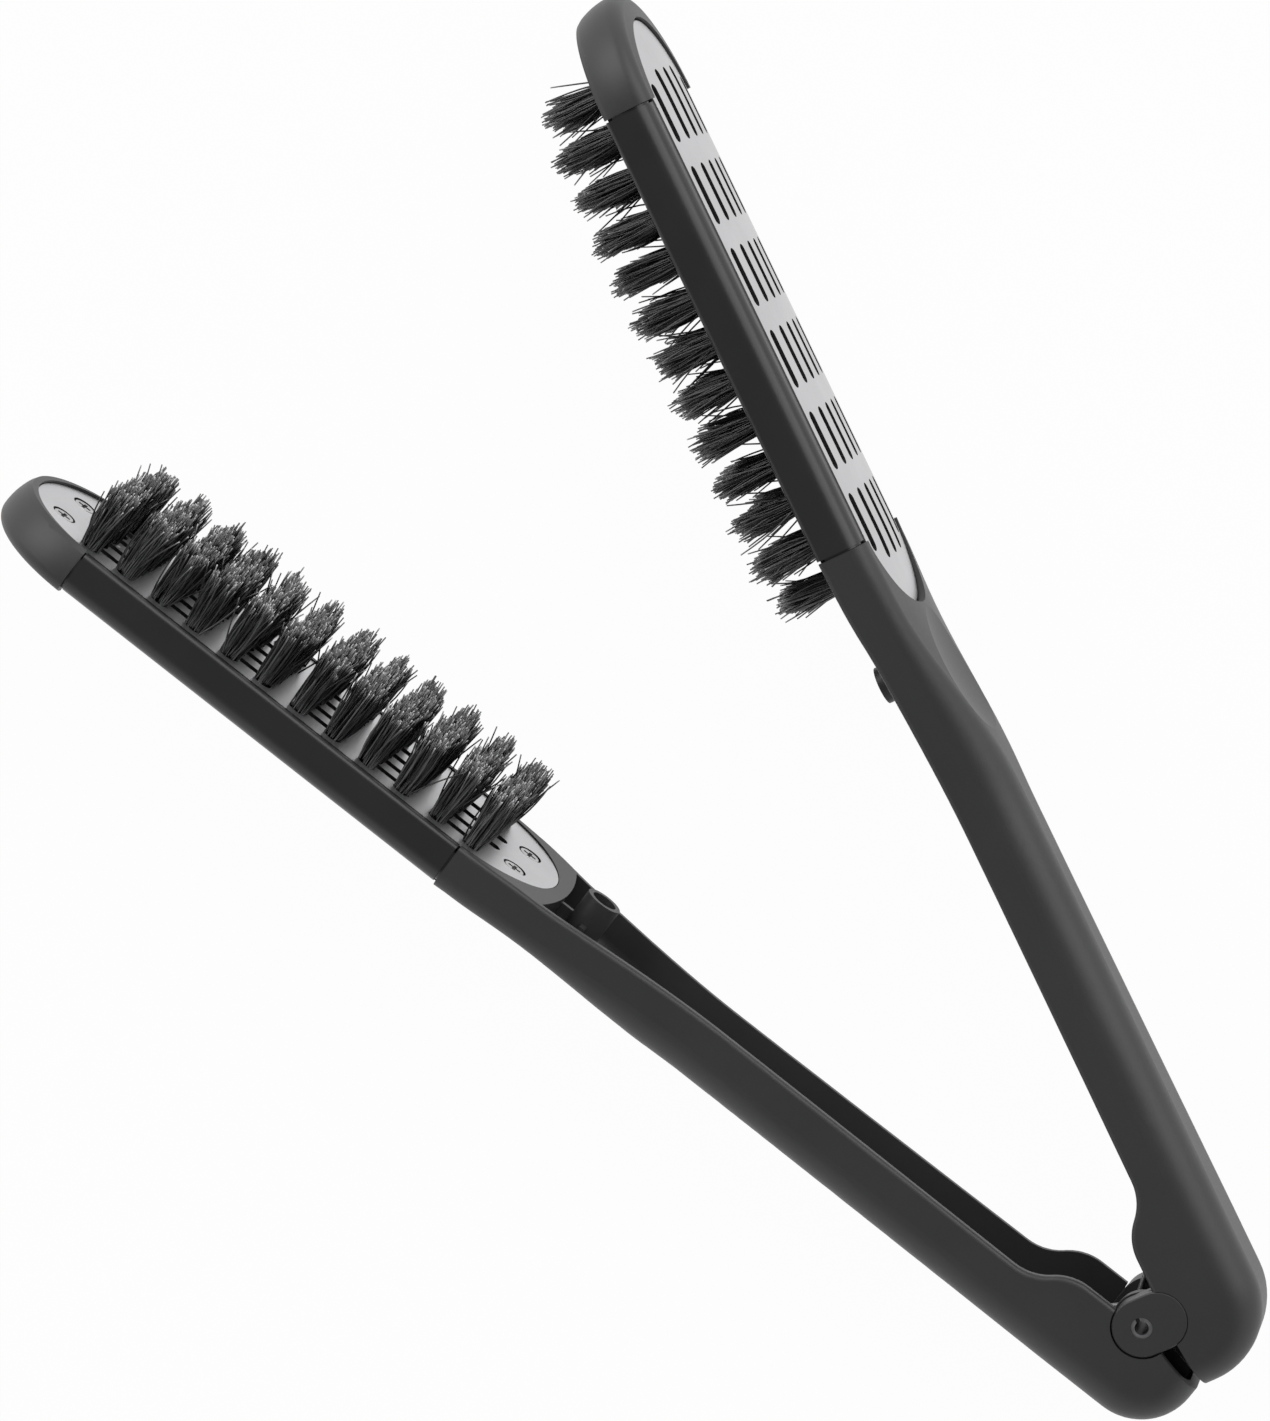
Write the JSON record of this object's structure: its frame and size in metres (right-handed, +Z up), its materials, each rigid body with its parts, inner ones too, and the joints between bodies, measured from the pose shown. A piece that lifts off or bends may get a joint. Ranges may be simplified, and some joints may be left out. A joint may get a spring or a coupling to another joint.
{
  "type": "hair straightening clamp brush",
  "caption": "Sprung clamp brush: slim channel handles hinged at one end, slotted silver plates and facing bristle tufts at the other, for drawing hair out straight.",
  "frame": {"origin": "on the hinge axis, at the middle of the hinge pin's bore", "axes": "+X along the right arm from the hinge to its tip, +Y from the right arm to the left arm, +Z up along the hinge axis with the open brush lying on its side"},
  "size_m": [0.2869, 0.1572, 0.0436],
  "materials": {
    "soft_touch_grey": "fine matte soft-touch moulding",
    "rail_charcoal": "satin moulded plastic",
    "silver_plate": "satin anodised sheet",
    "core_black": "moulded black plastic",
    "bristle_black": "bundled bristles, black with paler tips",
    "screw_steel": "bright plated screws",
    "pin_steel": "plain spring steel"
  },
  "bodies": {
    "right_side": {"right_arm": "soft_touch_grey", "right_tip_cap": "soft_touch_grey", "right_upper_rail": "rail_charcoal", "right_lower_rail": "rail_charcoal", "right_back_plate": "silver_plate", "right_bristle_core": "core_black", "right_inner_plate": "silver_plate", "right_tip_screws": "screw_steel", "right_grip_screws": "screw_steel", "right_tuft_row_01": "bristle_black", "right_tuft_row_02": "bristle_black", "right_tuft_row_03": "bristle_black", "right_tuft_row_04": "bristle_black", "right_tuft_row_05": "bristle_black", "right_tuft_row_06": "bristle_black", "right_tuft_row_07": "bristle_black", "right_tuft_row_08": "bristle_black", "right_tuft_row_09": "bristle_black", "right_tuft_row_10": "bristle_black", "right_tuft_row_11": "bristle_black", "right_tuft_row_12": "bristle_black", "right_tuft_row_13": "bristle_black", "hinge_yoke": "soft_touch_grey", "hinge_pin": "pin_steel", "torsion_spring": "pin_steel"},
    "left_side": {"left_arm": "soft_touch_grey", "left_tip_cap": "soft_touch_grey", "left_upper_rail": "rail_charcoal", "left_lower_rail": "rail_charcoal", "left_back_plate": "silver_plate", "left_bristle_core": "core_black", "left_inner_plate": "silver_plate", "left_tip_screws": "screw_steel", "left_grip_screws": "screw_steel", "left_tuft_row_01": "bristle_black", "left_tuft_row_02": "bristle_black", "left_tuft_row_03": "bristle_black", "left_tuft_row_04": "bristle_black", "left_tuft_row_05": "bristle_black", "left_tuft_row_06": "bristle_black", "left_tuft_row_07": "bristle_black", "left_tuft_row_08": "bristle_black", "left_tuft_row_09": "bristle_black", "left_tuft_row_10": "bristle_black", "left_tuft_row_11": "bristle_black", "left_tuft_row_12": "bristle_black"}
  },
  "joints": [
    {"name": "hinge", "type": "hinge", "parent": "right_side", "child": "left_side", "pos_m": [0, 0, 0], "axis": [0, 0, 1], "range_deg": [-27.6, 0], "stiffness_Nm_per_rad": 0.4, "springref_deg": 51.57, "deforming": ["right_tuft_row_01", "right_tuft_row_02", "right_tuft_row_03", "right_tuft_row_04", "right_tuft_row_05", "right_tuft_row_06", "right_tuft_row_07", "right_tuft_row_08", "right_tuft_row_09", "right_tuft_row_10", "right_tuft_row_11", "right_tuft_row_12", "right_tuft_row_13", "left_tuft_row_01", "left_tuft_row_02", "left_tuft_row_03", "left_tuft_row_04", "left_tuft_row_05", "left_tuft_row_06", "left_tuft_row_07", "left_tuft_row_08", "left_tuft_row_09", "left_tuft_row_10", "left_tuft_row_11", "left_tuft_row_12", "torsion_spring"]}
  ]
}
